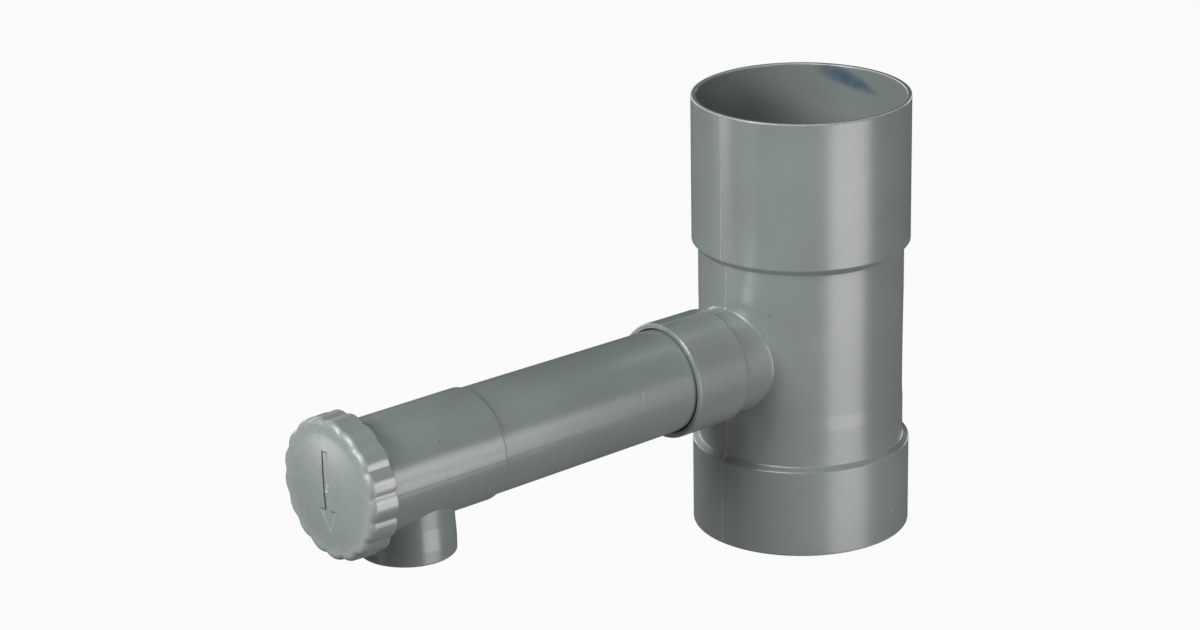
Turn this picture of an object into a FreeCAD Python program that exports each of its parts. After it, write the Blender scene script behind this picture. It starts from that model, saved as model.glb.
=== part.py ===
"""Rainwater diverter for a round downpipe, in millimetres.

The body is pushed between two lengths of downpipe. Rain runs down the pipe wall into a ring-shaped
gutter inside the body, leaves through the side branch and the arm, and falls out of the spout.
What the gutter can't take spills over the standpipe and on down the pipe. The fluted knob turns a
valve barrel inside the arm: the arrow points down when the spout is open and up when it is shut.

The origin is the centre of the lower socket's open end. +Z is up the pipe, and the arm points
along +X.
"""
import FreeCAD
import Part
import Sketcher
import os
import re

doc = FreeCAD.newDocument("RainwaterDiverter")

# Driving sizes: name, value, meaning
SIZES = [
    ("pipe_radius", 40.0, "outside of the downpipe that both sockets take"),
    ("pipe_gap", 0.2, "slack between the downpipe and a socket"),
    ("socket_wall", 2.0, "wall of both downpipe sockets"),
    ("body_height", 173.6, "lower open end to upper open end"),
    ("lower_socket_depth", 33.4, "lower open end to the ledge that stops the pipe"),
    ("upper_ledge_above", 20.4, "top of the branch's neck to the upper socket's ledge"),
    ("upper_step_lead", 0.2, "ledge to the foot of the upper socket's wall outside"),
    ("upper_step_drop", 2.5, "height of the slope under the upper socket"),
    ("lower_step_lead", 1.1, "ledge to the top of the lower socket's wall outside"),
    ("lower_step_rise", 1.5, "height of the slope over the lower socket"),
    ("waist_radius", 39.7, "outside of the body between its sockets"),
    ("waist_wall", 2.2, "wall of the body between its sockets"),
    ("shoulder_round", 0.7, "rounding of the edges of both shoulders outside"),
    ("rim_round", 0.6, "rounding of the open ends' edges"),
    ("gutter_dip", 1.4, "depth of the gutter's floor under the bore of the branch's neck"),
    ("gutter_thickness", 2.4, "thickness of the gutter's floor"),
    ("gutter_round", 1.2, "rounding at the foot of the gutter's walls"),
    ("standpipe_radius", 27.0, "outside of the overflow standpipe"),
    ("standpipe_wall", 2.0, "wall of the overflow standpipe"),
    ("standpipe_height", 42.0, "gutter floor to the overflow edge"),
    ("sink_depth", 0.28, "how far the waist is drawn in at the gutter's floor"),
    ("sink_below_step", 17.5, "foot of the upper shoulder to the top of the drawn-in waist"),
    ("sink_below", 5.5, "reach of the drawn-in waist below the floor"),
    ("branch_height", 75.5, "height of the branch and arm axis"),
    ("neck_radius", 20.3, "outside of the branch where it leaves the body"),
    ("neck_wall", 2.2, "wall of the branch's neck"),
    ("neck_shown", 6.7, "the body's outside to the foot of the branch's slope"),
    ("branch_step", 2.6, "length of the slope from the neck to the branch socket"),
    ("branch_step_lead", 0.6, "end of that slope to the ledge that stops the arm"),
    ("branch_bore", 20.3, "bore of the branch socket"),
    ("branch_wall", 1.9, "wall of the branch socket at its step"),
    ("branch_draft", 0.2, "what the branch socket gains in radius up to its mouth"),
    ("branch_length", 73.3, "body axis to the branch's mouth"),
    ("branch_soften", 2.0, "rounding of the branch's step"),
    ("branch_fillet", 0.8, "rounding between the branch's neck and the body"),
    ("mouth_lead", 0.3, "lead-in of the branch's mouth"),
    ("mouth_round", 0.7, "rounding of the outer edge of the branch's mouth"),
    ("spigot_gap", 0.6, "slack between the arm's end and the branch socket"),
    ("tube_gain", 0.75, "what the arm gains in radius up to its step"),
    ("tube_wall", 2.3, "wall of the arm's tube"),
    ("tube_shown", 92.9, "the branch's mouth to the step where the tube ends"),
    ("spigot_lead", 0.8, "chamfer on the arm's end in the branch"),
    ("step_length", 0.6, "length of the step from the tube to the valve housing"),
    ("step_round", 0.35, "rounding of that step"),
    ("housing_wall", 2.1, "wall of the valve housing"),
    ("housing_bore", 19.2, "bore of the valve housing"),
    ("housing_lead", 4.8, "tube's end to the start of the housing's bore"),
    ("housing_length", 62.15, "the tube's end to the housing's open end"),
    ("bead_height", 1.2, "snap bead over the housing's outside"),
    ("bead_place", 5.9, "housing's open end back to the bead's catch face"),
    ("bead_land", 1.0, "flat top of the bead"),
    ("bead_ramp", 2.2, "slope of the bead towards the open end"),
    ("spout_place", 31.85, "housing's open end back to the spout's axis"),
    ("spout_drop", 32.4, "arm axis to the spout's open end"),
    ("spout_tip_radius", 17.9, "outside of the spout at its open end"),
    ("spout_taper", 0.5, "what the spout loses in radius up to the housing"),
    ("spout_land", 5.0, "straight length at the spout's open end"),
    ("spout_slope", 8.0, "length of the spout's taper above that"),
    ("spout_wall", 2.2, "wall of the spout at its open end"),
    ("spout_round", 0.6, "rounding of the spout's outer edge"),
    ("turn_gap", 0.05, "running gap between the barrel and its bore"),
    ("barrel_wall", 2.75, "wall of the valve barrel"),
    ("barrel_start", 2.0, "start of the housing's bore to the barrel's end"),
    ("port_margin", 1.7, "how much smaller the port is than the spout's bore"),
    ("knob_gap", 0.6, "housing's open end to the inside of the knob's face"),
    ("face_wall", 2.3, "thickness of the knob's face"),
    ("knob_depth", 11.1, "depth of the knob's skirt up to its face"),
    ("knob_radius", 26.75, "outside of the knob over its lobes"),
    ("knob_taper", 2.0, "draft of the knob's outside, in degrees"),
    ("lobe_count", 17, "lobes around the knob"),
    ("lobe_radius", 8.3, "radius of a lobe"),
    ("flute_round", 1.9, "radius of the flute between two lobes"),
    ("knob_round", 2.2, "rounding of the knob's front edge, which follows the lobes"),
    ("knob_break", 0.4, "rounding of the knob's back edge"),
    ("skirt_clearance", 0.9, "gap between the bead and the inside of the skirt"),
    ("catch_height", 0.55, "how far the bead holds the knob's lip"),
    ("lip_length", 2.0, "length of the knob's snap lip"),
    ("catch_gap", 0.4, "play between the lip and the bead"),
    ("dome_radius", 18.7, "edge of the domed middle of the knob's face"),
    ("dome_height", 0.7, "rise of the domed middle"),
    ("arrow_depth", 0.35, "depth of the arrow in the face"),
    ("arrow_top", 14.5, "knob axis to the arrow's tail"),
    ("arrow_neck", 7.1, "knob axis to the arrow's barbs"),
    ("arrow_tip", 15.6, "knob axis to the arrow's tip"),
    ("arrow_width", 3.0, "width of the arrow's shaft"),
    ("arrow_head", 8.6, "width of the arrow's head"),
    ("knob_turn", 3.4, "turn of the knob from straight down, in degrees"),
    ("groove_width", 2.4, "width of both seal grooves"),
    ("seal_side_gap", 0.2, "play of a seal in its groove, both sides together"),
    ("seal_bevel", 0.5, "bevel on the edges of a seal's section"),
    ("arm_groove_place", 5.4, "arm's end to its seal groove"),
    ("arm_groove_depth", 1.2, "depth of the seal groove in the arm"),
    ("barrel_groove_place", 14.1, "housing's open end back to the barrel's seal groove"),
    ("barrel_groove_depth", 1.35, "depth of the seal groove in the barrel"),
]

# Sizes worked out from the driving ones: name, formula
WORKED_OUT = [
    ("socket_bore", "pipe_radius + pipe_gap"),
    ("socket_radius", "socket_bore + socket_wall"),
    ("upper_ledge", "branch_height + neck_radius + upper_ledge_above"),
    ("upper_step", "upper_ledge - upper_step_lead"),
    ("lower_step", "lower_socket_depth + lower_step_lead"),
    ("waist_bore", "waist_radius - waist_wall"),
    ("standpipe_bore", "standpipe_radius - standpipe_wall"),
    ("neck_bore", "neck_radius - neck_wall"),
    ("gutter_floor", "branch_height - neck_bore - gutter_dip"),
    ("standpipe_top", "gutter_floor + standpipe_height"),
    ("gutter_under", "gutter_floor - gutter_thickness"),
    ("sink_top", "upper_step - upper_step_drop - sink_below_step"),
    ("sink_above", "sink_top - gutter_floor"),
    ("sink_curve", "(sink_above * sink_above + sink_depth * sink_depth) / (2 * sink_depth)"),
    ("branch_root", "(standpipe_radius + waist_bore) / 2"),
    ("neck_end", "waist_radius + neck_shown"),
    ("branch_floor", "neck_end + branch_step + branch_step_lead"),
    ("branch_radius", "branch_bore + branch_wall"),
    ("branch_mouth", "branch_radius + branch_draft"),
    ("tube_radius", "branch_bore - spigot_gap"),
    ("tube_end_radius", "tube_radius + tube_gain"),
    ("tube_end", "branch_length + tube_shown"),
    ("housing_start", "tube_end + step_length"),
    ("housing_end", "tube_end + housing_length"),
    ("housing_radius", "housing_bore + housing_wall"),
    ("bore_start", "tube_end + housing_lead"),
    ("bead_back", "housing_end - bead_place"),
    ("bead_radius", "housing_radius + bead_height"),
    ("spout_x", "housing_end - spout_place"),
    ("spout_root_radius", "spout_tip_radius - spout_taper"),
    ("spout_bore", "spout_tip_radius - spout_wall"),
    ("barrel_radius", "housing_bore - turn_gap"),
    ("barrel_bore", "barrel_radius - barrel_wall"),
    ("barrel_end", "bore_start + barrel_start"),
    ("port_radius", "spout_bore - port_margin"),
    ("face_back", "housing_end + knob_gap"),
    ("knob_front", "face_back + face_wall"),
    ("knob_back", "knob_front - knob_depth"),
    ("lip_front", "bead_back - catch_gap"),
    ("lip_radius", "bead_radius - catch_height"),
    ("skirt_bore", "bead_radius + skirt_clearance"),
    ("lobe_reach", "knob_radius - lobe_radius"),
    ("dome_curve", "(dome_radius * dome_radius + dome_height * dome_height) / (2 * dome_height)"),
    ("arm_groove", "branch_floor + arm_groove_place"),
    ("barrel_groove", "housing_end - barrel_groove_place"),
]


def make_sheet():
    """Put every size in the sheet, each under its own name."""
    table = doc.addObject("Spreadsheet::Sheet", "size")
    rows = [(name, str(value), meaning) for name, value, meaning in SIZES]
    rows += [(name, "=" + formula, "worked out") for name, formula in WORKED_OUT]
    for row, (name, content, meaning) in enumerate(rows, start=1):
        table.set("A%d" % row, name)
        table.set("B%d" % row, content)
        table.set("C%d" % row, meaning)
        table.setAlias("B%d" % row, name)
    doc.recompute()
    return table


size = make_sheet()
ALONG_X = FreeCAD.Vector(1, 0, 0)
ALONG_Z = FreeCAD.Vector(0, 0, 1)


def number(expression):
    """The value of an expression written in the sheet's names."""
    return float(size.evalExpression(expression))


def bound(expression):
    """The same expression as another object has to write it."""
    return re.sub(r"[a-z_]+", lambda word: "size." + word.group(), expression)


def new_body(label, raised_by=None):
    """A PartDesign body, standing on the origin or raised up the Z axis."""
    body = doc.addObject("PartDesign::Body", label)
    if raised_by:
        body.setExpression("Placement.Base.z", bound(raised_by))
    return body


def new_sketch(body, plane, name, shift=None):
    """A sketch on one of the body's own planes, moved along the sketch's axes by expressions."""
    planes = {item.Role: item for item in body.Origin.OriginFeatures}
    sketch = body.newObject("Sketcher::SketchObject", name)
    sketch.AttachmentSupport = [(planes[plane], "")]
    sketch.MapMode = "FlatFace"
    for axis, expression in (shift or {}).items():
        sketch.setExpression("AttachmentOffset.Base." + axis, bound(expression))
    doc.recompute()
    return sketch


def hold(sketch, kind, index, point, expression):
    """Tie one end of an edge to the sketch's origin or axis at a distance."""
    if expression == "0":
        axis = -2 if kind == "DistanceX" else -1
        sketch.addConstraint(Sketcher.Constraint("PointOnObject", index, point, axis))
        return
    rule = Sketcher.Constraint(kind, -1, 1, index, point, number(expression))
    name = "%s_%d" % (kind, index)
    sketch.renameConstraint(sketch.addConstraint(rule), name)
    sketch.setExpression("Constraints." + name, bound(expression))


def hold_radius(sketch, index, expression):
    """Give an arc or a circle its radius."""
    rule = Sketcher.Constraint("Radius", index, number(expression))
    name = "Radius_%d" % index
    sketch.renameConstraint(sketch.addConstraint(rule), name)
    sketch.setExpression("Constraints." + name, bound(expression))


def short_arc(start, end, radius, centre_left):
    """The short arc from start to end, with its centre left or right of the way there."""
    chord = end - start
    side = FreeCAD.Vector(-chord.y, chord.x, 0).normalize()
    reach = (radius ** 2 - chord.Length ** 2 / 4) ** 0.5
    halfway = (start + end) / 2
    centre = halfway + side * (reach if centre_left else -reach)
    middle = centre + (halfway - centre).normalize() * radius
    return Part.Arc(start, middle, end)


def outline(sketch, corners):
    """Close a loop through corners, each a pair of expressions.

    A corner's third and fourth items bend the edge that starts there: the arc's radius, and
    whether its centre lies left of the way.
    """
    places = [FreeCAD.Vector(number(corner[0]), number(corner[1]), 0) for corner in corners]
    starts = []
    for index, corner in enumerate(corners):
        start = places[index]
        end = places[(index + 1) % len(places)]
        if len(corner) == 2:
            sketch.addGeometry(Part.LineSegment(start, end), False)
            starts.append(1)
        else:
            arc = short_arc(start, end, number(corner[2]), corner[3])
            sketch.addGeometry(arc, False)
            starts.append(1 if corner[3] else 2)
    for index, corner in enumerate(corners):
        following = (index + 1) % len(corners)
        sketch.addConstraint(Sketcher.Constraint(
            "Coincident", index, 3 - starts[index], following, starts[following]))
        hold(sketch, "DistanceX", index, starts[index], corner[0])
        hold(sketch, "DistanceY", index, starts[index], corner[1])
        if len(corner) == 4:
            hold_radius(sketch, index, corner[2])


def circle(sketch, x, y, radius):
    """A circle about a pair of expressions."""
    centre = FreeCAD.Vector(number(x), number(y), 0)
    sketch.addGeometry(Part.Circle(centre, FreeCAD.Vector(0, 0, 1), number(radius)), False)
    hold(sketch, "DistanceX", 0, 3, x)
    hold(sketch, "DistanceY", 0, 3, y)
    hold_radius(sketch, 0, radius)


def spin(body, sketch, kind, axis):
    """A full turn of the sketch about one of its own axes, added or cut."""
    feature = body.newObject("PartDesign::" + kind, sketch.Name + "_" + kind.lower())
    feature.Profile = sketch
    feature.ReferenceAxis = (sketch, [axis])
    feature.Angle = 360
    doc.recompute()
    return feature


def push(body, sketch, kind, length, taper=None):
    """The sketch pushed along its normal as a pad, or against it as a pocket."""
    feature = body.newObject("PartDesign::" + kind, sketch.Name + "_" + kind.lower())
    feature.Profile = sketch
    feature.setExpression("Length", bound(length))
    if taper:
        feature.setExpression("TaperAngle", bound(taper))
    doc.recompute()
    return feature


def soften(body, kind, edges, amount):
    """A fillet or a chamfer on edges of the body's last feature."""
    base = body.Tip
    feature = body.newObject("PartDesign::" + kind, "%s_%s" % (body.Name, kind.lower()))
    feature.Base = (base, edges)
    feature.setExpression("Radius" if kind == "Fillet" else "Size", bound(amount))
    doc.recompute()
    return feature


def ring_edges(body, axis, radius, place):
    """Names of the round edges with this radius at this place along an axis."""
    found = []
    for index, edge in enumerate(body.Tip.Shape.Edges, start=1):
        curve = edge.Curve
        if not isinstance(curve, Part.Circle) or abs(curve.Radius - number(radius)) > 0.001:
            continue
        along = abs(curve.Axis.dot(axis)) > 0.999
        if along and abs(curve.Center.dot(axis) - number(place)) < 0.001:
            found.append("Edge%d" % index)
    return found


# The body: outside, branch outside, everything inside, the branch's bore, then the edges
shell = new_body("body")
walls = new_sketch(shell, "XZ_Plane", "body_walls")
outline(walls, [
    ("0", "0"),
    ("socket_radius", "0"),
    ("socket_radius", "lower_step"),
    ("waist_radius", "lower_step + lower_step_rise"),
    ("waist_radius", "gutter_floor - sink_below"),
    ("waist_radius - sink_depth", "gutter_floor", "sink_curve", False),
    ("waist_radius", "sink_top"),
    ("waist_radius", "upper_step - upper_step_drop"),
    ("socket_radius", "upper_step"),
    ("socket_radius", "body_height"),
    ("0", "body_height"),
])
spin(shell, walls, "Revolution", "V_Axis")

branch = new_sketch(shell, "XZ_Plane", "branch_walls", {"y": "branch_height"})
outline(branch, [
    ("branch_root", "0"),
    ("branch_root", "neck_radius"),
    ("neck_end", "neck_radius"),
    ("neck_end + branch_step", "branch_radius"),
    ("branch_length", "branch_mouth"),
    ("branch_length", "0"),
])
spin(shell, branch, "Revolution", "H_Axis")

inside = new_sketch(shell, "XZ_Plane", "body_inside")
outline(inside, [
    ("0", "0"),
    ("socket_bore", "0"),
    ("socket_bore", "lower_socket_depth"),
    ("waist_bore", "lower_socket_depth"),
    ("waist_bore", "gutter_under"),
    ("standpipe_bore", "gutter_under"),
    ("standpipe_bore", "standpipe_top"),
    ("standpipe_radius", "standpipe_top"),
    ("standpipe_radius", "gutter_floor"),
    ("waist_bore", "gutter_floor"),
    ("waist_bore", "upper_ledge"),
    ("socket_bore", "upper_ledge"),
    ("socket_bore", "body_height"),
    ("0", "body_height"),
])
spin(shell, inside, "Groove", "V_Axis")

bore = new_sketch(shell, "XZ_Plane", "branch_inside", {"y": "branch_height"})
outline(bore, [
    ("branch_root", "0"),
    ("branch_root", "neck_bore"),
    ("branch_floor", "neck_bore"),
    ("branch_floor", "branch_bore"),
    ("branch_length - mouth_lead", "branch_bore"),
    ("branch_length", "branch_bore + mouth_lead"),
    ("branch_length", "0"),
])
spin(shell, bore, "Groove", "H_Axis")

step = ring_edges(shell, ALONG_X, "neck_radius", "neck_end")
step += ring_edges(shell, ALONG_X, "branch_radius", "neck_end + branch_step")
soften(shell, "Fillet", step, "branch_soften")
soften(shell, "Fillet", ring_edges(shell, ALONG_X, "branch_mouth", "branch_length"), "mouth_round")
shoulders = []
for shoulder_radius, shoulder_height in (
        ("socket_radius", "lower_step"), ("waist_radius", "lower_step + lower_step_rise"),
        ("waist_radius", "upper_step - upper_step_drop"), ("socket_radius", "upper_step")):
    shoulders += ring_edges(shell, ALONG_Z, shoulder_radius, shoulder_height)
soften(shell, "Fillet", shoulders, "shoulder_round")


def junction_edges():
    """Names of the edges where the branch's neck meets the body outside."""
    found = []
    for index, edge in enumerate(shell.Tip.Shape.Edges, start=1):
        points = edge.discretize(5)
        on_neck = all(abs(((point.z - number("branch_height")) ** 2 + point.y ** 2) ** 0.5
                          - number("neck_radius")) < 0.001 for point in points)
        if on_neck and number("neck_radius") < points[0].x < number("waist_radius") + 0.001:
            found.append("Edge%d" % index)
    return found


soften(shell, "Fillet", junction_edges(), "branch_fillet")
rims = []
for rim_radius in ("socket_radius", "socket_bore"):
    for rim_height in ("0", "body_height"):
        rims += ring_edges(shell, ALONG_Z, rim_radius, rim_height)
soften(shell, "Fillet", rims, "rim_round")
gutter_feet = ring_edges(shell, ALONG_Z, "standpipe_radius", "gutter_floor")
gutter_feet += ring_edges(shell, ALONG_Z, "waist_bore", "gutter_floor")
soften(shell, "Fillet", gutter_feet, "gutter_round")

# The arm, drawn about its own axis: tube, housing and spout in one moulding
arm = new_body("arm", "branch_height")
tube = new_sketch(arm, "XZ_Plane", "arm_walls")
outline(tube, [
    ("branch_floor", "0"),
    ("branch_floor", "tube_radius - spigot_lead"),
    ("branch_floor + spigot_lead", "tube_radius"),
    ("arm_groove", "tube_radius"),
    ("arm_groove", "tube_radius - arm_groove_depth"),
    ("arm_groove + groove_width", "tube_radius - arm_groove_depth"),
    ("arm_groove + groove_width", "tube_radius"),
    ("tube_end", "tube_end_radius"),
    ("housing_start", "housing_radius"),
    ("bead_back", "housing_radius"),
    ("bead_back", "bead_radius"),
    ("bead_back + bead_land", "bead_radius"),
    ("bead_back + bead_land + bead_ramp", "housing_radius"),
    ("housing_end", "housing_radius"),
    ("housing_end", "0"),
])
spin(arm, tube, "Revolution", "H_Axis")

spout = new_sketch(arm, "XZ_Plane", "spout_walls", {"x": "spout_x"})
outline(spout, [
    ("0", "0"),
    ("spout_root_radius", "0"),
    ("spout_root_radius", "spout_land + spout_slope - spout_drop"),
    ("spout_tip_radius", "spout_land - spout_drop"),
    ("spout_tip_radius", "0 - spout_drop"),
    ("0", "0 - spout_drop"),
])
spin(arm, spout, "Revolution", "V_Axis")

hollow = new_sketch(arm, "XZ_Plane", "arm_inside")
outline(hollow, [
    ("branch_floor", "0"),
    ("branch_floor", "tube_radius - tube_wall"),
    ("bore_start", "tube_end_radius - tube_wall"),
    ("bore_start", "housing_bore"),
    ("housing_end", "housing_bore"),
    ("housing_end", "0"),
])
spin(arm, hollow, "Groove", "H_Axis")

spout_hole = new_sketch(arm, "XY_Plane", "spout_inside")
circle(spout_hole, "spout_x", "0", "spout_bore")
push(arm, spout_hole, "Pocket", "spout_drop + 1")

arm_step = ring_edges(arm, ALONG_X, "tube_end_radius", "tube_end")
arm_step += ring_edges(arm, ALONG_X, "housing_radius", "housing_start")
soften(arm, "Fillet", arm_step, "step_round")
spout_rim = ring_edges(arm, ALONG_Z, "spout_tip_radius", "0 - spout_drop")
soften(arm, "Fillet", spout_rim, "spout_round")

# The knob, drawn about the arm's axis with its arrow straight down over a lobe, then turned
knob = new_body("knob", "branch_height")
knob.Placement.Rotation = FreeCAD.Rotation(ALONG_X, number("knob_turn"))
knob.setExpression("Placement.Rotation.Angle", "size.knob_turn")
core = new_sketch(knob, "YZ_Plane", "knob_core", {"z": "knob_back"})
circle(core, "0", "0", "lobe_reach")
push(knob, core, "Pad", "knob_depth")
lobe = new_sketch(knob, "YZ_Plane", "knob_lobe", {"z": "knob_back"})
circle(lobe, "0", "0 - lobe_reach", "lobe_radius")
lobe_pad = push(knob, lobe, "Pad", "knob_depth", "0 - knob_taper")

lobes = knob.newObject("PartDesign::PolarPattern", "knob_lobes")
lobes.Originals = [lobe_pad]
lobes.Axis = (core, ["N_Axis"])
lobes.Angle = 360
lobes.setExpression("Occurrences", "size.lobe_count")
knob.Tip = lobes
doc.recompute()


def reach(point):
    """How far a point lies from the knob's axis."""
    return (point.y ** 2 + point.z ** 2) ** 0.5


flutes = []
for index, edge in enumerate(lobes.Shape.Edges, start=1):
    ends = [vertex.Point for vertex in edge.Vertexes]
    runs_along = len(ends) == 2 and abs(ends[0].x - ends[1].x) > number("knob_depth") / 2
    if runs_along and reach(ends[0]) > number("lobe_reach"):
        flutes.append("Edge%d" % index)
soften(knob, "Fillet", flutes, "flute_round")


def face_edges(plane):
    """Names of the knob's edges that lie wholly at this place along the axis."""
    found = []
    for index, edge in enumerate(knob.Tip.Shape.Edges, start=1):
        if all(abs(vertex.Point.x - number(plane)) < 0.001 for vertex in edge.Vertexes):
            found.append("Edge%d" % index)
    return found


soften(knob, "Fillet", face_edges("knob_front"), "knob_round")
soften(knob, "Fillet", face_edges("knob_back"), "knob_break")

dome = new_sketch(knob, "XZ_Plane", "knob_dome")
outline(dome, [
    ("face_back", "0"),
    ("face_back", "dome_radius"),
    ("knob_front", "dome_radius", "dome_curve", False),
    ("knob_front + dome_height", "0"),
])
spin(knob, dome, "Revolution", "H_Axis")

arrow = new_sketch(knob, "YZ_Plane", "knob_arrow", {"z": "knob_front + dome_height"})
outline(arrow, [
    ("0 - arrow_width / 2", "arrow_top"),
    ("0 - arrow_width / 2", "0 - arrow_neck"),
    ("0 - arrow_head / 2", "0 - arrow_neck"),
    ("0", "0 - arrow_tip"),
    ("arrow_head / 2", "0 - arrow_neck"),
    ("arrow_width / 2", "0 - arrow_neck"),
    ("arrow_width / 2", "arrow_top"),
])
push(knob, arrow, "Pocket", "dome_height + 2 * arrow_depth")
arrow_floor = new_sketch(knob, "XZ_Plane", "arrow_floor")
outline(arrow_floor, [
    ("face_back", "0"),
    ("face_back", "dome_radius"),
    ("knob_front - arrow_depth", "dome_radius", "dome_curve", False),
    ("knob_front + dome_height - arrow_depth", "0"),
])
spin(knob, arrow_floor, "Revolution", "H_Axis")

skirt = new_sketch(knob, "XZ_Plane", "knob_inside")
outline(skirt, [
    ("knob_back", "0"),
    ("knob_back", "lip_radius"),
    ("knob_back + lip_length", "lip_radius"),
    ("knob_back + lip_length", "skirt_bore"),
    ("face_back", "skirt_bore"),
    ("face_back", "0"),
])
spin(knob, skirt, "Groove", "H_Axis")

barrel = new_sketch(knob, "XZ_Plane", "barrel_walls")
outline(barrel, [
    ("barrel_end", "barrel_bore"),
    ("barrel_end", "barrel_radius"),
    ("barrel_groove", "barrel_radius"),
    ("barrel_groove", "barrel_radius - barrel_groove_depth"),
    ("barrel_groove + groove_width", "barrel_radius - barrel_groove_depth"),
    ("barrel_groove + groove_width", "barrel_radius"),
    ("face_back + face_wall / 2", "barrel_radius"),
    ("face_back + face_wall / 2", "barrel_bore"),
])
spin(knob, barrel, "Revolution", "H_Axis")
port = new_sketch(knob, "XY_Plane", "barrel_port")
circle(port, "spout_x", "0", "port_radius")
push(knob, port, "Pocket", "barrel_radius + 1")


def seal(label, groove, inner, outer):
    """A rubber ring in a groove round the arm's axis."""
    ring = new_body(label, "branch_height")
    section = new_sketch(ring, "XZ_Plane", label + "_section")
    start = groove + " + seal_side_gap / 2"
    end = groove + " + groove_width - seal_side_gap / 2"
    outline(section, [(start, inner), (end, inner), (end, outer), (start, outer)])
    spin(ring, section, "Revolution", "H_Axis")
    corners = []
    for place in (start, end):
        for radius in (inner, outer):
            corners += ring_edges(ring, ALONG_X, radius, place)
    soften(ring, "Chamfer", corners, "seal_bevel")
    return ring


arm_seal = seal("arm_seal", "arm_groove", "tube_radius - arm_groove_depth", "branch_bore")
knob_seal = seal("knob_seal", "barrel_groove", "barrel_radius - barrel_groove_depth",
                 "barrel_radius")
knob_seal.Placement.Rotation = FreeCAD.Rotation(ALONG_X, number("knob_turn"))
knob_seal.setExpression("Placement.Rotation.Angle", "size.knob_turn")
doc.recompute()

for item in doc.Objects:
    if "Invalid" in item.State or "Error" in item.State:
        raise RuntimeError("%s is in state %s" % (item.Label, item.State))
    if hasattr(item, "Shape") and item.isDerivedFrom("PartDesign::Feature"):
        if item.Shape.isNull() or not item.Shape.isValid():
            raise RuntimeError("%s has no sound shape" % item.Label)

os.makedirs("parts", exist_ok=True)
for piece in (shell, arm, arm_seal, knob, knob_seal):
    if piece.Shape.isNull() or not piece.Shape.isValid() or len(piece.Shape.Solids) != 1:
        raise RuntimeError("%s isn't one sound solid" % piece.Label)
    piece.Shape.exportStep("parts/%s.step" % piece.Label)
    print(piece.Label, piece.Shape.BoundBox, round(piece.Shape.Volume))
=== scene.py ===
"""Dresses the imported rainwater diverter: moulded plastic, mould marks, light and camera."""
import bmesh
import bpy
import math
from mathutils import Matrix, Vector

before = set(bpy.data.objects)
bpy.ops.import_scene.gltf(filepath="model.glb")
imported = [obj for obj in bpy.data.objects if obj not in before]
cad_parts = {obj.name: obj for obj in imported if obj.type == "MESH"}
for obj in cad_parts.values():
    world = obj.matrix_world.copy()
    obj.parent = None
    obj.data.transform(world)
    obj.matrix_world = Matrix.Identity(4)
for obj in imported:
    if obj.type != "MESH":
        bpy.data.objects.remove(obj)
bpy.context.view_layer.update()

# Places and sizes on the object, in metres
BODY_HEIGHT = 0.1736
SOCKET_BORE = 0.0402
SOCKET_WALL = 0.0020
SOCKET_MIDDLE = SOCKET_BORE + SOCKET_WALL / 2
WAIST_MIDDLE = 0.0384
WAIST_SPAN = (0.0340, 0.1155)
BRANCH_HEIGHT = 0.0755
KNOB_FACE = 0.23125
KNOB_TURN = math.radians(3.4)

# The arrow on the knob's face, measured from the knob's middle
ARROW_TOP = 0.0145
ARROW_NECK = 0.0071
ARROW_TIP = 0.0156
ARROW_HALF_WIDTH = 0.0015
HEAD_HALF_WIDTH = 0.0043


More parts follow.
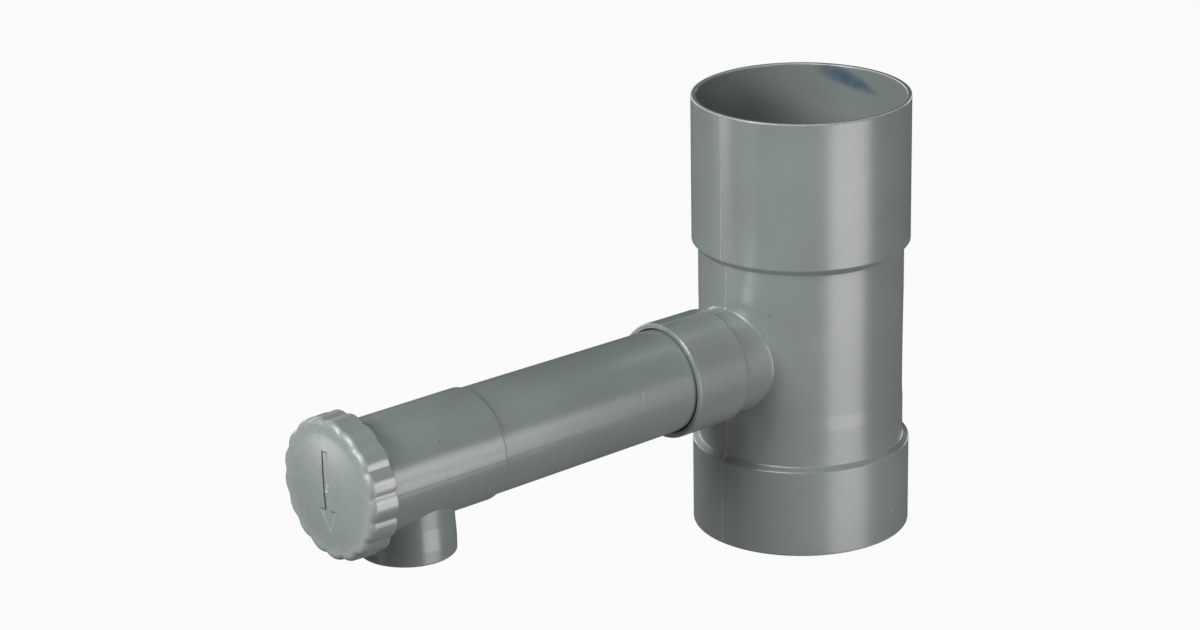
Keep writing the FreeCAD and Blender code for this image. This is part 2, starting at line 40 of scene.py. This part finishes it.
class Nodes:
    """A material's node tree, with short ways to add to it."""

    def __init__(self, name):
        self.material = bpy.data.materials.new(name)
        self.material.use_nodes = True
        self.tree = self.material.node_tree
        self.shader = self.tree.nodes["Principled BSDF"]
        self.place = self.add("ShaderNodeTexCoord").outputs["Object"]

    def add(self, kind, **settings):
        """A node with its properties set."""
        node = self.tree.nodes.new(kind)
        for key, value in settings.items():
            setattr(node, key, value)
        return node

    def feed(self, socket, value):
        """A link if the value is a socket, and a constant otherwise."""
        if isinstance(value, bpy.types.NodeSocket):
            self.tree.links.new(value, socket)
        else:
            socket.default_value = value

    def math(self, operation, first, second=0.0, third=0.0):
        """One sum or other operation."""
        node = self.add("ShaderNodeMath", operation=operation)
        for socket, value in zip(node.inputs, (first, second, third)):
            self.feed(socket, value)
        return node.outputs[0]

    def split(self):
        """The x, y and z of the place on the object."""
        node = self.add("ShaderNodeSeparateXYZ")
        self.feed(node.inputs[0], self.place)
        return node.outputs

    def turned(self, first, second, angle):
        """Two coordinates on axes turned by an angle."""
        run, rise = math.cos(angle), math.sin(angle)
        along = self.math("ADD", self.math("MULTIPLY", first, run),
                          self.math("MULTIPLY", second, rise))
        across = self.math("SUBTRACT", self.math("MULTIPLY", second, run),
                           self.math("MULTIPLY", first, rise))
        return along, across

    def squares(self, first, second):
        """The sum of two squares."""
        return self.math("ADD", self.math("POWER", first, 2.0), self.math("POWER", second, 2.0))

    def away(self, value, middle):
        """How far a value is from a middle."""
        return self.math("ABSOLUTE", self.math("SUBTRACT", value, middle))

    def both(self, first, second):
        """Where two masks meet, or a mask made weaker by a share."""
        return self.math("MULTIPLY", first, second)

    def band(self, value, low, high):
        """1 where the value lies between two limits, and 0 elsewhere."""
        return self.both(self.math("GREATER_THAN", value, low), self.math("LESS_THAN", value, high))

    def patch(self, side, up, sideways, upwards):
        """1 in a rectangle given by its limits sideways and upwards."""
        return self.both(self.band(side, *sideways), self.band(up, *upwards))

    def spots(self, places, size):
        """1 at each of these places, fading out to nothing at this size."""
        mask = 0.0
        for place in places:
            away = self.add("ShaderNodeVectorMath", operation="DISTANCE")
            self.feed(away.inputs[0], self.place)
            away.inputs[1].default_value = place
            spot = self.fade(away.outputs["Value"], size / 2, size, 1.0, 0.0)
            mask = self.math("MAXIMUM", mask, spot)
        return mask

    def fade(self, value, start, end, low=0.0, high=1.0):
        """A smooth step of the value from low at start to high at end."""
        node = self.add("ShaderNodeMapRange", interpolation_type="SMOOTHSTEP")
        for name, number in (("From Min", start), ("From Max", end), ("To Min", low),
                             ("To Max", high)):
            node.inputs[name].default_value = number
        self.feed(node.inputs["Value"], value)
        return node.outputs[0]

    def noise(self, size, detail=2.0):
        """Noise with features of about this size in metres."""
        node = self.add("ShaderNodeTexNoise")
        self.feed(node.inputs["Vector"], self.place)
        node.inputs["Scale"].default_value = 1.0 / size
        node.inputs["Detail"].default_value = detail
        return node.outputs[0]

    def blend(self, amount, first, second):
        """Two colours mixed."""
        node = self.add("ShaderNodeMix", data_type="RGBA")
        self.feed(node.inputs["Factor"], amount)
        self.feed(node.inputs["A"], first)
        self.feed(node.inputs["B"], second)
        return node.outputs["Result"]

    def bump(self, height, distance, strength=1.0, after=None):
        """A bump of this height in metres where the input is 1."""
        node = self.add("ShaderNodeBump")
        node.inputs["Strength"].default_value = strength
        node.inputs["Distance"].default_value = distance
        self.feed(node.inputs["Height"], height)
        if after is not None:
            self.feed(node.inputs["Normal"], after)
        return node.outputs[0]


def linear(red, green, blue):
    """A colour written in 0 to 255 steps, as the shader wants it."""
    steps = [value / 255 for value in (red, green, blue)]
    return [s / 12.92 if s <= 0.04045 else ((s + 0.055) / 1.055) ** 2.4 for s in steps] + [1.0]


def shade(tone, share):
    """A tone made lighter or darker by a share."""
    return linear(*[value * share for value in tone])


# Fine structure of the moulded plastic: sizes and rises in metres
CLOUD_SIZE = 0.045
SPECK_SIZE = 0.0014
WAVE_SIZE, WAVE_RISE = 0.018, 0.00010
GRAIN_SIZE, GRAIN_RISE = 0.0011, 0.00002
SEAM_WIDTH, SEAM_RISE = 0.00022, 0.00022


def plastic(name, tone, gloss, roughness, grain, seam=None, marks=None):
    """Moulded PVC: cloudy tone, dark specks, fine grain and a raised mould seam with a painted
    highlight.

    gloss is the index of refraction. seam is a function giving a mask that is 1 on the mould's
    parting line, and marks one that takes the colour, roughness and normal so far and gives
    them with the piece's own marks.
    """
    n = Nodes(name)
    cloud = n.fade(n.noise(CLOUD_SIZE, 3.0), 0.3, 0.7)
    fine = n.noise(GRAIN_SIZE, 3.0)
    colour = n.blend(cloud, shade(tone, 0.965), shade(tone, 1.03))
    specks = n.fade(n.noise(SPECK_SIZE, 1.0), 0.73, 0.78, 0.0, 0.3)
    colour = n.blend(specks, colour, shade(tone, 0.8))
    polish = n.math("ADD", roughness, n.math("MULTIPLY", fine, 0.03))
    normal = n.bump(n.noise(WAVE_SIZE), WAVE_RISE, 0.6)
    normal = n.bump(fine, GRAIN_RISE * grain, 0.5, normal)
    if seam:
        line = seam(n)
        # The seam is a real ridge made by a bump; its paler colour is a painted highlight of the
        # light the ridge catches
        colour = n.blend(line, colour, shade(tone, 1.3))
        normal = n.bump(line, SEAM_RISE, 0.8, normal)
    if marks:
        colour, polish, normal = marks(n, colour, polish, normal)
    n.feed(n.shader.inputs["Base Color"], colour)
    n.feed(n.shader.inputs["Roughness"], polish)
    n.feed(n.shader.inputs["Normal"], normal)
    n.shader.inputs["IOR"].default_value = gloss
    n.shader.inputs["Specular IOR Level"].default_value = 1.0
    return n.material


def body_seam(n):
    """The body's mould opens across the plane through the pipe and the branch, outside only."""
    x, y, z = n.split()
    line = n.fade(n.math("ABSOLUTE", y), 0.0001, 0.0003, 1.0, 0.0)
    drawn_in = n.both(n.band(z, *WAIST_SPAN), SOCKET_MIDDLE - WAIST_MIDDLE)
    outside = n.math("GREATER_THAN", n.math("ABSOLUTE", x),
                     n.math("SUBTRACT", SOCKET_MIDDLE, drawn_in))
    return n.both(line, outside)


def arm_seam(n):
    """The arm's mould opens across the flat plane through its axis."""
    height = n.split()[2]
    return n.fade(n.away(height, BRANCH_HEIGHT), 0.0, SEAM_WIDTH, 1.0, 0.0)


# Nibs of plastic and dark specks where the photograph shows them, and their sizes, in metres
BODY_NIBS = ((0.0400, -0.0004, 0.0961), (0.0400, -0.0004, 0.0359), (0.0416, -0.0002, 0.1731),
             (-0.0095, 0.0411, 0.0114))
BODY_SPECKS = ((0.0359, 0.0166, 0.0885), (0.0347, 0.0193, 0.0970))
ARM_NIBS = ((0.1672, 0.0212, 0.0758), (0.0992, 0.0193, 0.0800))
ARM_SPECKS = ((0.1937, 0.0169, 0.0885),)
NIB_SIZE, NIB_RISE = 0.0007, 0.0002
DARK_SPECK_SIZE = 0.0006
BRUISED = linear(196, 204, 199)


def blemishes(n, colour, normal, nibs, specks):
    """Small raised nibs of plastic and dark specks."""
    raised = n.spots(nibs, NIB_SIZE)
    colour = n.blend(n.both(raised, 0.5), colour, BRUISED)
    dark = n.both(n.spots(specks, DARK_SPECK_SIZE), 0.5)
    colour = n.blend(dark, colour, linear(64, 70, 67))
    return colour, n.bump(raised, NIB_RISE, 0.8, normal)


# The scratch across the arm's tube: its middle, its limits upwards and its lean
SCRATCH_X, SCRATCH_Z = 0.0992, 0.0802
SCRATCH_SPAN = (0.0776, 0.0828)
SCRATCH_LEAN = -0.24
SCRATCH_HALF_WIDTH = 0.00016


def arm_marks(n, colour, polish, normal):
    """Nibs and a speck on the arm, and a short pale scratch across its tube."""
    x, y, z = n.split()
    lean = n.math("SUBTRACT", n.math("SUBTRACT", x, SCRATCH_X),
                  n.math("MULTIPLY", n.math("SUBTRACT", z, SCRATCH_Z), SCRATCH_LEAN))
    line = n.patch(lean, z, (-SCRATCH_HALF_WIDTH, SCRATCH_HALF_WIDTH), SCRATCH_SPAN)
    line = n.both(line, n.math("GREATER_THAN", y, 0.0))
    colour = n.blend(n.both(line, 0.45), colour, BRUISED)
    colour, normal = blemishes(n, colour, normal, ARM_NIBS, ARM_SPECKS)
    return colour, polish, normal


# The ink inside the upper socket: its middle round the bore, counted from the side away from the
# arm, and above the foot, its lean, half its length and width, how it widens along its length,
# and how far its edge wanders
SMEAR_AROUND = 0.0132
SMEAR_HEIGHT = 0.1685
SMEAR_TURN = math.radians(16.8)
SMEAR_HALF_LENGTH = 0.0140
SMEAR_HALF_WIDTH = 0.0032
SMEAR_WIDENS = 0.08
SMEAR_WANDERS = 0.0025


def ink_smear(n, out):
    """A mask of the blue ink, with the distance from the pipe's axis given."""
    x, y, z = n.split()
    around = n.math("ARCTAN2", n.math("MULTIPLY", y, -1.0), n.math("MULTIPLY", x, -1.0))
    wander = n.math("MULTIPLY", n.math("SUBTRACT", n.noise(0.005, 3.0), 0.5), SMEAR_WANDERS)
    sideways = n.math("ADD", n.math("MULTIPLY", around, SOCKET_BORE), wander)
    sideways = n.math("SUBTRACT", sideways, SMEAR_AROUND)
    upwards = n.math("ADD", n.math("SUBTRACT", z, SMEAR_HEIGHT), wander)
    along, across = n.turned(sideways, upwards, SMEAR_TURN)
    wide = n.math("ADD", SMEAR_HALF_WIDTH, n.math("MULTIPLY", along, SMEAR_WIDENS))
    reach = n.squares(n.math("DIVIDE", along, SMEAR_HALF_LENGTH), n.math("DIVIDE", across, wide))
    ink = n.fade(reach, -0.2, 1.5, 1.0, 0.0)
    ink = n.both(ink, n.fade(n.noise(0.003, 4.0), 0.2, 0.6, 0.6, 1.0))
    inside = n.math("LESS_THAN", out, SOCKET_BORE + SOCKET_WALL / 4)
    return n.both(n.both(ink, inside), 0.8)


def body_marks(n, colour, polish, normal):
    """Nibs, specks, a painted highlight along the edges of the open rim, and blue ink inside the
    upper socket.
    """
    colour, normal = blemishes(n, colour, normal, BODY_NIBS, BODY_SPECKS)
    x, y, z = n.split()
    out = n.math("SQRT", n.squares(x, y))
    # Painted highlight: the rounded edges of the open rim are made paler, standing in for the light
    # they catch
    edge = n.fade(n.away(out, SOCKET_MIDDLE), 0.0004, 0.0007)
    rim = n.fade(z, BODY_HEIGHT - 0.0005, BODY_HEIGHT - 0.0002)
    colour = n.blend(n.both(n.both(edge, rim), 0.7), colour, linear(214, 218, 216))
    return n.blend(ink_smear(n, out), colour, linear(40, 85, 115)), polish, normal


# The dome of the knob's face as modelled, and as the photograph shows it: rise, radius, soft foot
DOME_MADE = (0.0007, 0.0187, 0.00002)
DOME_SHOWN = (0.00135, 0.0202, 0.00045)

# How far behind the knob's face its dull finish starts and is full, and the ring where the face
# bends over to the side
FACE_START, FACE_FULL = 0.0026, 0.0012
FACE_RING = (0.0215, 0.0235)

# The arrow's right wall, the painted shade under the upper edges of its shaft, tail and barbs, and
# the painted highlight on the sides of its head, by their limits sideways and upwards
GROOVE = ((ARROW_HALF_WIDTH - 0.0012, ARROW_HALF_WIDTH + 0.0007),
          (-ARROW_NECK - 0.0004, ARROW_TOP + 0.0005))
SHAFT = ((-ARROW_HALF_WIDTH - 0.00005, -ARROW_HALF_WIDTH + 0.0004),
         (-ARROW_NECK - 0.0001, ARROW_TOP + 0.0001))
TAIL = ((-ARROW_HALF_WIDTH, ARROW_HALF_WIDTH - 0.0006), (ARROW_TOP - 0.0006, ARROW_TOP + 0.0001))
BARBS = ((ARROW_HALF_WIDTH + 0.0001, HEAD_HALF_WIDTH), (-ARROW_NECK - 0.0006, -ARROW_NECK))
HEAD = ((-0.00012, 0.00022), (-ARROW_TIP - 0.0002, -ARROW_NECK - 0.0003))


def dome(n, away, rise, radius, foot):
    """The height of a low dome at this distance from its middle, with a softened foot."""
    fall = n.math("MULTIPLY", n.math("POWER", away, 2.0), rise / radius ** 2)
    return n.math("SMOOTH_MAX", n.math("SUBTRACT", rise, fall), 0.0, foot)


def arrow_lines(n, side, up, face, colour):
    """Painted shade along the arrow's upper edges, where its recess walls lie in shadow, and
    painted highlight on the lit sides of its head.
    """
    half = n.math("ABSOLUTE", side)
    # Painted shade: the recess walls under the arrow's upper edges are darkened as if in shadow
    hooks = n.math("MAXIMUM", n.patch(side, up, *TAIL), n.patch(half, up, *BARBS))
    painted_shade_lines = n.math("MAXIMUM", n.both(n.patch(side, up, *SHAFT), 0.65), n.both(hooks, 0.9))
    colour = n.blend(n.both(painted_shade_lines, face), colour, linear(48, 54, 51))
    head_length = ARROW_TIP - ARROW_NECK
    slope = math.hypot(head_length, HEAD_HALF_WIDTH)
    outwards = n.math("MULTIPLY", n.math("SUBTRACT", half, HEAD_HALF_WIDTH), head_length / slope)
    upwards = n.math("MULTIPLY", n.math("ADD", up, ARROW_NECK), HEAD_HALF_WIDTH / slope)
    # Painted highlight: the lit lower walls of the arrow's head are made paler
    painted_highlight_lines = n.patch(n.math("SUBTRACT", outwards, upwards), up, *HEAD)
    return n.blend(n.both(n.both(painted_highlight_lines, face), 0.8), colour, linear(196, 206, 199))


def knob_marks(n, colour, polish, normal):
    """The knob's eroded face, duller than its sides, with its dome and the arrow's painted shade
    and highlight lines.
    """
    x, y, z = n.split()
    face = n.fade(x, KNOB_FACE - FACE_START, KNOB_FACE - FACE_FULL)
    side, up = n.turned(y, n.math("SUBTRACT", z, BRANCH_HEIGHT), KNOB_TURN)
    away = n.math("SQRT", n.squares(side, up))
    polish = n.math("ADD", polish, n.both(face, n.fade(away, *FACE_RING, 0.05, 0.20)))
    polish = n.math("ADD", polish, n.both(n.patch(side, up, *GROOVE), 0.22))
    swell = n.math("SUBTRACT", dome(n, away, *DOME_SHOWN), dome(n, away, *DOME_MADE))
    normal = n.bump(swell, 1.0, 1.0, normal)
    grain = n.fade(n.noise(0.0007, 1.0), 0.3, 0.7, 0.0, 0.24)
    colour = n.blend(n.both(grain, face), colour, linear(192, 204, 197))
    return arrow_lines(n, side, up, face, colour), polish, normal


def rubber(name):
    """Black sealing rubber with a dull bloom."""
    n = Nodes(name)
    bloom = n.fade(n.noise(0.004, 3.0), 0.35, 0.7)
    n.feed(n.shader.inputs["Base Color"], n.blend(bloom, linear(24, 24, 25), linear(44, 44, 45)))
    n.feed(n.shader.inputs["Roughness"], n.math("ADD", 0.55, n.math("MULTIPLY", bloom, 0.2)))
    n.feed(n.shader.inputs["Normal"], n.bump(n.noise(0.0005), 0.00002))
    return n.material


def wear(node, material):
    """Give a carried-over node its material."""
    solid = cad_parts[node]
    solid.data.materials.clear()
    solid.data.materials.append(material)


BODY_TONE = (140, 149, 145)
ARM_TONE = (139, 149, 147)
KNOB_TONE = (145, 155, 149)
wear("body", plastic("body_plastic", BODY_TONE, 1.58, 0.28, 1.0, body_seam, body_marks))
wear("arm", plastic("arm_plastic", ARM_TONE, 1.58, 0.25, 1.0, arm_seam, arm_marks))
wear("knob", plastic("knob_plastic", KNOB_TONE, 1.7, 0.24, 1.5, None, knob_marks))
wear("arm_seal", rubber("arm_seal_rubber"))
wear("knob_seal", rubber("knob_seal_rubber"))


# The floor lies this low because the photograph's highlights come from lamps under the object
FLOOR = -0.35
FLOOR_RADIUS = 3.0
FLOOR_WHITE = 0.96


def make_floor():
    """A wide pale floor that shows white and keeps the object's soft shadow."""
    mesh = bpy.data.meshes.new("floor")
    shape = bmesh.new()
    bmesh.ops.create_circle(shape, cap_ends=True, segments=96, radius=FLOOR_RADIUS)
    shape.to_mesh(mesh)
    shape.free()
    floor = bpy.data.objects.new("floor", mesh)
    floor.location.z = FLOOR
    bpy.context.scene.collection.objects.link(floor)
    n = Nodes("pale_floor")
    n.shader.inputs["Base Color"].default_value = (0.20, 0.20, 0.20, 1.0)
    n.shader.inputs["Roughness"].default_value = 0.9
    bare = n.add("ShaderNodeEmission")
    mix = n.add("ShaderNodeMixShader")
    camera_ray = n.add("ShaderNodeLightPath").outputs["Is Camera Ray"]
    n.feed(mix.inputs[0], n.math("MULTIPLY", camera_ray, FLOOR_WHITE))
    n.tree.links.new(n.shader.outputs[0], mix.inputs[1])
    n.tree.links.new(bare.outputs[0], mix.inputs[2])
    n.tree.links.new(mix.outputs[0], n.tree.nodes["Material Output"].inputs["Surface"])
    mesh.materials.append(n.material)


def light_world(level):
    """A grey studio all round, which the camera sees as white."""
    world = bpy.data.worlds.new("studio")
    bpy.context.scene.world = world
    world.use_nodes = True
    tree = world.node_tree
    room = tree.nodes["Background"]
    room.inputs["Color"].default_value = (1.0, 1.0, 1.0, 1.0)
    room.inputs["Strength"].default_value = level
    white = tree.nodes.new("ShaderNodeBackground")
    white.inputs["Color"].default_value = (1.0, 1.0, 1.0, 1.0)
    mix = tree.nodes.new("ShaderNodeMixShader")
    tree.links.new(tree.nodes.new("ShaderNodeLightPath").outputs["Is Camera Ray"], mix.inputs[0])
    tree.links.new(room.outputs[0], mix.inputs[1])
    tree.links.new(white.outputs[0], mix.inputs[2])
    tree.links.new(mix.outputs[0], tree.nodes["World Output"].inputs["Surface"])


def softbox(name, azimuth, distance, height, size, radiance, aim=(0.08, 0.0, 0.085)):
    """A rectangular lamp of this width and height that faces the object, of the given radiance."""
    lamp = bpy.data.lights.new(name, "AREA")
    lamp.shape = "RECTANGLE"
    lamp.size, lamp.size_y = size
    lamp.energy = radiance * math.pi * size[0] * size[1]
    turn = math.radians(azimuth)
    holder = bpy.data.objects.new(name, lamp)
    holder.location = (distance * math.sin(turn), -distance * math.cos(turn), height)
    way = Vector(aim) - holder.location
    holder.rotation_euler = way.to_track_quat("-Z", "Y").to_euler()
    bpy.context.scene.collection.objects.link(holder)
    return lamp


def strip(name, height, tall, radiance):
    """One lamp of the wall that gives the body its bright band, facing the pipe's axis level."""
    return softbox(name, 187, 0.75, height, (0.60, tall), radiance, aim=(0.0, 0.0, height))


make_floor()
light_world(0.03)
softbox("key", 85, 1.1, 0.65, (0.45, 0.40), radiance=14.6)
softbox("high", 110, 0.9, 1.1, (0.60, 0.50), radiance=6.4)
strip("strip", -0.10, 0.20, 3.0).color = (1.04, 0.99, 1.0)
strip("strip_high", 0.19, 0.30, 3.1)
strip("strip_low", -0.275, 0.15, 1.85)
softbox("low", 51, 1.12, -0.08, (0.26, 0.16), radiance=4.4, aim=(0.2, 0.0, 0.08))
softbox("low_side", 80, 1.1, -0.22, (0.30, 0.26), radiance=0.5, aim=(0.1, 0.0, -0.105))
softbox("edge", 12, 1.2, 0.20, (0.10, 0.40), radiance=5.0)
softbox("back_left", 352, 1.4, 0.12, (0.45, 0.45), radiance=3.2)
softbox("back_right", 283, 1.4, 0.12, (0.45, 0.45), radiance=3.2)
softbox("back_high", 350, 1.6, 0.70, (1.0, 0.8), radiance=1.0)


# The photograph's camera: its place in degrees and metres, its turns in radians, and its focal
# length and frame in pixels
CAMERA_AZIMUTH = 136.0
CAMERA_DISTANCE = 1.425
CAMERA_HEIGHT = 0.5955
PAN, TILT, ROLL = -0.0547, 0.3444, -0.0170
FOCAL_LENGTH = 3897.0
FRAME_WIDTH = 1200.0


def make_camera():
    """The photograph's view: from the arm's side, a little above."""
    azimuth = math.radians(CAMERA_AZIMUTH)
    up = Vector((0.0, 0.0, 1.0))
    ahead = Vector((-math.sin(azimuth), math.cos(azimuth), 0.0))
    right = Vector((math.cos(azimuth), math.sin(azimuth), 0.0))
    place = -CAMERA_DISTANCE * ahead + CAMERA_HEIGHT * up
    ahead, right = (math.cos(PAN) * ahead + math.sin(PAN) * right,
                    math.cos(PAN) * right - math.sin(PAN) * ahead)
    ahead, up = (math.cos(TILT) * ahead - math.sin(TILT) * up,
                 math.cos(TILT) * up + math.sin(TILT) * ahead)
    right, up = (math.cos(ROLL) * right + math.sin(ROLL) * up,
                 math.cos(ROLL) * up - math.sin(ROLL) * right)
    lens = bpy.data.cameras.new("camera")
    lens.sensor_width = 36.0
    lens.lens = lens.sensor_width * FOCAL_LENGTH / FRAME_WIDTH
    lens.clip_start, lens.clip_end = 0.05, 20.0
    camera = bpy.data.objects.new("camera", lens)
    bpy.context.scene.collection.objects.link(camera)
    turn = Matrix((right, up, -ahead)).transposed()
    camera.matrix_world = Matrix.Translation(place) @ turn.to_4x4()
    bpy.context.scene.camera = camera


make_camera()
bpy.context.scene.view_settings.view_transform = "Standard"
